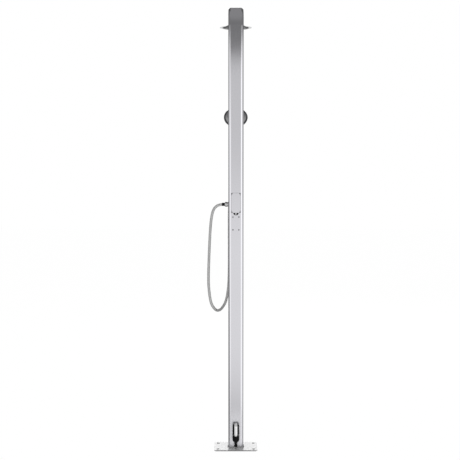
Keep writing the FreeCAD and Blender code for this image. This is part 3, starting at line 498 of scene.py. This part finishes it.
domeSettings = {
    **chromeSettings,
    "shadeFrom": (2.1465, 2.1485),  # painted shade over the rain head's dome above its brim
    "shade": (0.16, 0.16, 0.165),
}

fittingSettings = {
    "dark": (0.80, 0.80, 0.81),
    "light": (0.90, 0.90, 0.91),
    # painted reflection of dark flags on the flanks
    "flagReflection": (0.008, 0.008, 0.009),
    "metal": 0.55,                  # metallic down the bright middle
    "inlet": (0, (0.38, 0.54)),     # the normal's axis that leans, and how far when the painted black reflection sets in
    "nut": (2, (0.42, 0.60)),
}


def polishedChrome(name, s):
    f = Finish(bpy.data.materials.new(name))
    cloud = f.noise(scale=40)
    skin = f.blend(cloud, s["dark"], s["light"])
    # painted shade over the dome above its brim
    if "shade" in s:
        x, y, z = f.axes()
        skin = f.blend(f.range(z, *s["shadeFrom"]), skin, s["shade"])
    f.set(Base_Color=skin,
          Roughness=0.05 + 0.05 * cloud,
          Metallic=1.0,
          Normal=f.bump(f.noise(900, 2), strength=0.012))
    return f.owner


def fittingChrome(name, s, axis, edge):
    # chrome with painted reflections of black flags: bright down the middle, painted black to the sides
    f = Finish(bpy.data.materials.new(name))
    cloud = f.noise(scale=40)
    # painted reflection: black where the surface turns to the sides
    dark = f.range(f.axes("Normal")[axis].abs(), *edge)
    f.set(Base_Color=f.blend(dark, f.blend(cloud, s["dark"], s["light"]), s["flagReflection"]),
          Roughness=0.09 + 0.05 * cloud,
          Metallic=f.between(dark, s["metal"], 1.0),
          Normal=f.bump(f.noise(900, 2), strength=0.012))
    return f.owner


# hand shower

handsetTilt = math.radians(54)

handsetSettings = {
    "middle": (0.0, -0.162914, 1.680090),
    "axis": (0.0, math.sin(handsetTilt), math.cos(handsetTilt)),
    "dark": (0.43, 0.43, 0.45),
    "light": (0.52, 0.52, 0.54),
    "brim": (0.19, 0.19, 0.20),
    "brimEdge": (0.0515, 0.0535),
    "gleam": (0.98, 0.98, 0.98),    # painted highlight: light arcs inside the brim's lower half
    "gleamInner": (0.0385, 0.0445),
    "gleamOuter": (0.0540, 0.0505),
    "gleamHeight": (1.700, 1.668),
}


def smokeChrome(s):
    # dark chrome with a darker ring round its brim and painted highlight arcs inside it
    f = Finish(bpy.data.materials.new("smokeChrome"))
    cloud = f.noise(scale=25)
    place = f.node("ShaderNodeTexCoord", {}, {}, "Object")
    off = f.node("ShaderNodeVectorMath", {"operation": "SUBTRACT"}, {0: place, 1: s["middle"]})
    side = f.node("ShaderNodeVectorMath", {"operation": "CROSS_PRODUCT"}, {0: off, 1: s["axis"]})
    radius = f.node("ShaderNodeVectorMath", {"operation": "LENGTH"}, {0: side}, "Value")
    x, y, z = f.axes()
    # painted highlight arcs inside the brim's lower half
    gleam = f.range(radius, *s["gleamInner"]) * f.range(radius, *s["gleamOuter"])
    gleam = gleam * f.range(z, *s["gleamHeight"])
    skin = f.blend(cloud, s["dark"], s["light"])
    skin = f.blend(f.range(radius, *s["brimEdge"]), skin, s["brim"])
    f.set(Base_Color=f.blend(gleam, skin, s["gleam"]),
          Roughness=0.20 + 0.08 * cloud,
          Metallic=1.0,
          Normal=f.bump(f.noise(1200, 2), strength=0.02, distance=0.0001))
    return f.owner


# the other metals and the plastics

def drawnSteel(name, tint, rough):
    f = Finish(bpy.data.materials.new(name))
    fine = f.noise(scale=700)
    cloud = f.noise(scale=60)
    f.set(Base_Color=f.blend(cloud, tuple(0.86 * c for c in tint), tint),
          Roughness=rough + 0.16 * (fine - 0.5),
          Metallic=1.0,
          Normal=f.bump(fine, strength=0.06))
    return f.owner


def machinedBrass(dark, light):
    f = Finish(bpy.data.materials.new("machinedBrass"))
    fine = f.noise(900, 2)
    cloud = f.noise(scale=55)
    f.set(Base_Color=f.blend(cloud, dark, light),
          Roughness=0.24 + 0.18 * fine,
          Metallic=1.0,
          Normal=f.bump(fine, strength=0.08))
    return f.owner


def weldedSteel(dark, light):
    f = Finish(bpy.data.materials.new("weldedSteel"))
    cloud = f.noise(scale=45)
    f.set(Base_Color=f.blend(cloud, dark, light),
          Roughness=0.26 + 0.16 * cloud,
          Metallic=1.0,
          Normal=f.bump(f.noise(scale=400), strength=0.10, distance=0.0003))
    return f.owner


def mouldedPlastic(name, dark, light, rough, grain, gloss=0.5):
    f = Finish(bpy.data.materials.new(name))
    fine = f.noise(1800, 2)
    cloud = f.noise(scale=30)
    f.set(Base_Color=f.blend(cloud, dark, light),
          Roughness=rough + 0.12 * (fine - 0.5) + 0.06 * (cloud - 0.5),
          Metallic=0.0,
          Specular_IOR_Level=gloss,
          Normal=f.bump(fine, strength=grain))
    return f.owner


finishes = {
    "satin": brushedSteel("satinSteel", steelSettings),
    "panel": brushedSteel("panelSteel", steelSettings, panelRim),
    "plate": plateSteel(plateSettings, plateCorner),
    "nut": nutSteel(nutSettings),
    "chrome": polishedChrome("polishedChrome", chromeSettings),
    "domeChrome": polishedChrome("domeChrome", domeSettings),
    "inletChrome": fittingChrome("inletChrome", fittingSettings, *fittingSettings["inlet"]),
    "nutChrome": fittingChrome("nutChrome", fittingSettings, *fittingSettings["nut"]),
    "smoke": smokeChrome(handsetSettings),
    "screwSteel": drawnSteel("screwSteel", (0.62, 0.62, 0.63), 0.28),
    "darkScrew": drawnSteel("darkScrew", (0.25, 0.25, 0.26), 0.34),
    "pipeSteel": drawnSteel("pipeSteel", (0.70, 0.70, 0.71), 0.22),
    "brass": machinedBrass((0.50, 0.34, 0.13), (0.78, 0.60, 0.30)),
    "weld": weldedSteel((0.62, 0.62, 0.62), (0.80, 0.80, 0.81)),
    "black": mouldedPlastic("blackPlastic", (0.002, 0.002, 0.0022), (0.007, 0.007, 0.008),
                            rough=0.34, grain=0.10, gloss=0.12),
    "rubber": mouldedPlastic("sealRubber", (0.012, 0.012, 0.012), (0.028, 0.027, 0.026),
                             rough=0.62, grain=0.22),
    "nozzle": mouldedPlastic("nozzleRubber", (0.20, 0.205, 0.21), (0.30, 0.305, 0.31),
                             rough=0.55, grain=0.14),
    "bearing": mouldedPlastic("bearingPlastic", (0.70, 0.69, 0.66), (0.84, 0.83, 0.80),
                              rough=0.40, grain=0.06),
    "ceramic": mouldedPlastic("lappedCeramic", (0.80, 0.79, 0.75), (0.92, 0.91, 0.88),
                              rough=0.16, grain=0.02),
}

finishOf = {
    "satin": ["post_tube", "arm_end_cap", "holder_base"],
    "panel": ["access_panel"],
    "plate": ["base_plate", "spray_plate"],
    "nut": ["pipe_nuts"],
    "chrome": ["front_rosette", "control_knob", "head_nipple", "holder_ring", "hose_cone"],
    "domeChrome": ["head_shell"],
    "inletChrome": ["inlet_elbow"],
    "nutChrome": ["outlet_nipple", "hose_nut"],
    "smoke": ["handset_body", "handset_face"],
    "screwSteel": ["holder_screws", "holder_grub_screw", "elbow_grub_screw", "drain_screw",
                   "knob_screw", "spray_screws", "valve_bracket"],
    "darkScrew": ["panel_screws", "bracket_screws", "inlet_spigot"],
    "pipeSteel": ["supply_pipe", "riser_pipe"],
    "brass": ["inlet_locknut", "inner_elbow", "valve_body", "cartridge_nut",
              "body_nut", "head_socket", "head_hub", "valve_spindle"],
    "weld": ["foot_weld"],
    "black": ["tap_adaptor", "lower_sleeve", "upper_sleeve", "knob_cap", "ball_retainer"],
    "rubber": ["swivel_seal", "inlet_gasket", "outlet_gasket", "panel_gasket",
               "adaptor_washer", "head_seal"],
    "nozzle": ["spray_nozzles", "handset_nozzles"],
    "bearing": ["ball_cup", "cartridge_sleeve"],
    "ceramic": ["fixed_disc", "turning_disc"],
}


def dressNodes():
    for finish, names in finishOf.items():
        for name in names:
            materials = nodes[name].data.materials
            materials.clear()
            materials.append(finishes[finish])
    dressed = set(sum(finishOf.values(), []))
    left = sorted(set(nodes) - dressed - {"shower_hose"})
    print("finishes on", len(dressed), "nodes, left plain:", left)


dressNodes()


# ripples of the weld round the post's foot

weldOffset = 0.0013     # from the post's wall to the middle of the ripples

weldSettings = {
    "Width": 2 * (postSection["halfWidth"] + weldOffset),
    "Depth": 2 * (postSection["halfDepth"] + weldOffset),
    "Corner": postSection["corner"] + weldOffset,
    "Corner steps": 8,
    "Height": plateCorner.z + 0.0011,
    "Bead radius": 0.00285,
    "Least": 0.93,          # how much smaller or larger a ripple may be
    "Most": 1.04,
    "Pitch": 0.0019,
}


def weldTree():
    # overlapping ripples along a rounded rectangle
    g = Shape("weldBead", {
        "Width": "Float", "Depth": "Float", "Corner": "Float", "Corner steps": "Int",
        "Height": "Float", "Bead radius": "Float", "Least": "Float", "Most": "Float",
        "Pitch": "Float", "Finish": "Material"})
    foot = g.node("GeometryNodeCurvePrimitiveQuadrilateral", {}, {
        "Width": g.size("Width"), "Height": g.size("Depth")})
    bent = g.node("GeometryNodeFilletCurve", {"mode": "POLY"}, {
        "Curve": foot, "Count": g.size("Corner steps"), "Radius": g.size("Corner")})
    points = g.node("GeometryNodeResampleCurve", {"mode": "LENGTH"}, {
        "Curve": bent, "Length": g.size("Pitch")})
    ripple = g.node("GeometryNodeMeshIcoSphere", {}, {
        "Radius": g.size("Bead radius"), "Subdivisions": 2})
    vary = g.node("FunctionNodeRandomValue", {"data_type": "FLOAT"}, {
        2: g.size("Least"), 3: g.size("Most"), "Seed": 7}, 1)
    row = g.node("GeometryNodeInstanceOnPoints", {}, {
        "Points": points, "Instance": ripple, "Scale": vary})
    lift = g.node("ShaderNodeCombineXYZ", {}, {"Z": g.size("Height")})
    return g.finish(g.node("GeometryNodeTransform", {}, {"Geometry": row, "Translation": lift}))


def makeWeld(s):
    bead = runTree(None, weldTree(), {**s, "Finish": finishes["weld"]}, "weld_ripples")
    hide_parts("foot_weld")
    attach(bead, "post")
    print("weld:", len(bead.data.polygons), "faces")


makeWeld(weldSettings)


# jet tips of the rain head and the hand shower

jetTip = {
    "Tip radius": 0.00062,
    "Tip taper": 1.25,
    "Tip height": 0.0006,
}

rainJets = {
    **jetTip,
    "rings": 4,
    "Step": 0.0145,
    "Place": (0.0, -0.245, 2.1395),
    "Turn": (0.0, 0.0, 0.0),
}

handJets = {
    **jetTip,
    "rings": 3,
    "Step": 0.014,
    "Place": (0.0, -0.16389, 1.67938),
    "Turn": (-handsetTilt, 0.0, 0.0),
}


def jetTree(rings):
    # rings of 6, 12, 18 ... small jets round a middle one
    g = Shape("jetRings", {
        "Step": "Float", "Tip radius": "Float", "Tip taper": "Float", "Tip height": "Float",
        "Place": "Vector", "Turn": "Rotation", "Finish": "Material"})
    tip = g.node("GeometryNodeMeshCone", {}, {
        "Vertices": 10, "Radius Top": g.size("Tip radius") * g.size("Tip taper"),
        "Radius Bottom": g.size("Tip radius"), "Depth": g.size("Tip height")})
    spots = g.tree.nodes.new("GeometryNodeJoinGeometry")
    join(g.tree, g.node("GeometryNodeMeshLine", {}, {"Count": 1}), spots.inputs[0])
    for k in range(1, rings + 1):
        ring = g.node("GeometryNodeMeshCircle", {}, {"Vertices": 6 * k, "Radius": g.size("Step") * k})
        join(g.tree, ring, spots.inputs[0])
    jets = g.node("GeometryNodeInstanceOnPoints", {}, {
        "Points": Wire(g.tree, spots.outputs[0]), "Instance": tip})
    return g.finish(g.node("GeometryNodeTransform", {}, {
        "Geometry": jets, "Translation": g.size("Place"), "Rotation": g.size("Turn")}))


def makeJets(s, name, body):
    jets = runTree(None, jetTree(s["rings"]), {**s, "Finish": finishes["rubber"]}, name)
    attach(jets, body)
    print(name + ":", len(jets.data.polygons), "faces")


makeJets(rainJets, "rain_jets", "rain_head")
makeJets(handJets, "hand_jets", "hand_shower")


# studio floor

floorSettings = {
    "reach": 14.0,
    "shade": 0.86,
    "rough": 0.9,
    "glow": 0.955,          # how much of what the camera sees is plain white
    "white": 1.008,
}


def makeFloor(s):
    reach = s["reach"]
    mesh = bpy.data.meshes.new("floor")
    corners = [(-reach, -reach, 0), (reach, -reach, 0), (reach, reach, 0), (-reach, reach, 0)]
    mesh.from_pydata(corners, [], [(0, 1, 2, 3)])
    floor = bpy.data.objects.new("floor", mesh)
    scene.collection.objects.link(floor)
    f = Finish(bpy.data.materials.new("paleFloor"))
    f.set(Base_Color=(s["shade"], s["shade"], s["shade"]), Roughness=s["rough"])
    camera = f.node("ShaderNodeLightPath", {}, {}, "Is Camera Ray")
    glossy = f.node("ShaderNodeLightPath", {}, {}, "Is Glossy Ray")
    glow = f.node("ShaderNodeEmission", {}, {"Color": (1, 1, 1), "Strength": s["white"]})
    seen = f.node("ShaderNodeMixShader", {}, {
        0: s["glow"] * camera, 1: Wire(f.tree, f.shader.outputs[0]), 2: glow})
    through = f.node("ShaderNodeBsdfTransparent", {}, {})
    mixed = f.node("ShaderNodeMixShader", {}, {0: glossy, 1: seen, 2: through})
    join(f.tree, mixed, f.tree.nodes["Material Output"].inputs["Surface"])
    mesh.materials.append(f.owner)


makeFloor(floorSettings)


# the room that the metal shows; a fade is how much, from which height to which,
# and a From is where a wall begins, in degrees round from the middle behind the camera

roomSettings = {
    "fill": 0.90,                       # even light on the plastics
    "plain": 0.845,                     # wall behind the camera
    "plainFade": (0.21, -0.10, 0.02),
    "boxRight": 1.34,                   # two tall soft boxes beside it
    "boxRightFade": (0.05, -0.02, -0.10),
    "boxLeft": 1.10,
    "boxLeftFade": (0.24, 0.0, 0.08),
    "boxFrom": (2.5, 6.5),
    "boxSplit": (-0.02, 0.02),
    "sideRight": (0.66, 0.80),          # side walls, from one height to another
    "sideRightHeight": (-0.02, -0.09),
    "sideLeft": (0.42, 0.80),
    "sideLeftHeight": (-0.22, 0.06),
    "sideFrom": (41, 52),
    "flagRight": 0.27,                  # dark flags beyond them
    "flagLeft": 0.11,
    "flagFrom": (94, 108),
    "front": 0.74,                      # wall in front of the post
    "frontFrom": (146, 158),
    "lowRightFade": (0.30, -0.22, -0.31),
    "lowLeftFade": (0.46, -0.19, -0.30),
    "lowSplit": (0.02, -0.08),
    "ceiling": 0.203,                   # dark ceiling that the bend shows
    "ceilingRise": 0.07,                # lighter overhead
    "ceilingRiseHeight": (0.3, 0.95),
    "canopy": 0.110,                    # darker still towards the front corners
    "canopyAside": (0.08, 0.16),
    "canopyForward": (0.15, 0.40),
    "band": 1.62,                       # strip over the front that whitens the base plate
    "bandForward": (0.88, 0.93),
    "bandAside": (0.25, 0.15),
    "bandTop": (0.40, 0.33),
    "bandFoot": (0.11, 0.17),
    "edgeTurn": (8, 26),                # the ceiling's edge, in the middle and at the sides
    "edgeMiddle": (0.0755, 0.089),
    "edgeSides": (0.084, 0.116),
}


def makeRoom(s):
    scene.world = bpy.data.worlds.new("studio")
    f = Finish(scene.world)
    x, y, z = f.axes("Generated")
    aside = x.abs()
    forward = -1.0 * y
    turn = aside.calc("ARCTAN2", aside, y)
    onLeft = f.range(x, *s["boxSplit"])

    def sector(first, last):
        return f.range(turn, math.radians(first), math.radians(last))

    def fade(part, low, high):
        return 1 - part * f.range(z, low, high)

    plain = s["plain"] * fade(*s["plainFade"])
    boxRight = s["boxRight"] * fade(*s["boxRightFade"])
    boxLeft = s["boxLeft"] * fade(*s["boxLeftFade"])
    sideRight = f.between(f.range(z, *s["sideRightHeight"]), *s["sideRight"])
    sideLeft = f.between(f.range(z, *s["sideLeftHeight"]), *s["sideLeft"])
    wall = f.between(sector(*s["boxFrom"]), plain, f.between(onLeft, boxRight, boxLeft))
    wall = f.between(sector(*s["sideFrom"]), wall, f.between(onLeft, sideRight, sideLeft))
    wall = f.between(sector(*s["flagFrom"]), wall, f.between(onLeft, s["flagRight"], s["flagLeft"]))
    wall = f.between(sector(*s["frontFrom"]), wall, s["front"])
    wall = wall * f.between(f.range(x, *s["lowSplit"]), fade(*s["lowLeftFade"]), fade(*s["lowRightFade"]))

    overhead = s["ceiling"] + s["ceilingRise"] * f.range(z, *s["ceilingRiseHeight"])
    canopy = f.range(aside, *s["canopyAside"]) * f.range(forward, *s["canopyForward"])
    ceiling = f.between(canopy, overhead, s["canopy"])
    band = f.range(forward, *s["bandForward"]) * f.range(aside, *s["bandAside"])
    band = band * f.range(z, *s["bandTop"]) * f.range(z, *s["bandFoot"])
    ceiling = f.between(band, ceiling, s["band"])
    edge = f.between(sector(*s["edgeTurn"]), f.range(z, *s["edgeMiddle"]), f.range(z, *s["edgeSides"]))
    room = f.between(edge, wall, ceiling)

    camera = f.node("ShaderNodeLightPath", {}, {}, "Is Camera Ray")
    glossy = f.node("ShaderNodeLightPath", {}, {}, "Is Glossy Ray")
    light = f.between(camera, f.between(glossy, s["fill"], room), 1.0)
    back = f.tree.nodes["Background"]
    join(f.tree, (1, 1, 1), back.inputs["Color"])
    join(f.tree, light, back.inputs["Strength"])


makeRoom(roomSettings)


# lamps

lampSettings = {
    "places": {"keyBox": (1.6, 4.6, 3.4), "frontBox": (-1.4, -4.4, 3.0)},
    "target": (0.0, 0.0, 1.1),
    "size": 1.6,
    "power": 40,
}


def makeLamp(name, place, s):
    data = bpy.data.lights.new(name, "AREA")
    data.shape = "RECTANGLE"
    data.size = s["size"]
    data.size_y = s["size"]
    data.energy = s["power"]
    lamp = bpy.data.objects.new(name, data)
    lamp.location = place
    lamp.visible_glossy = False     # the room in the metal has its own boxes
    way = Vector(s["target"]) - Vector(place)
    lamp.rotation_euler = way.to_track_quat("-Z", "Y").to_euler()
    scene.collection.objects.link(lamp)


for lampName, lampPlace in lampSettings["places"].items():
    makeLamp(lampName, lampPlace, lampSettings)
print("studio set")
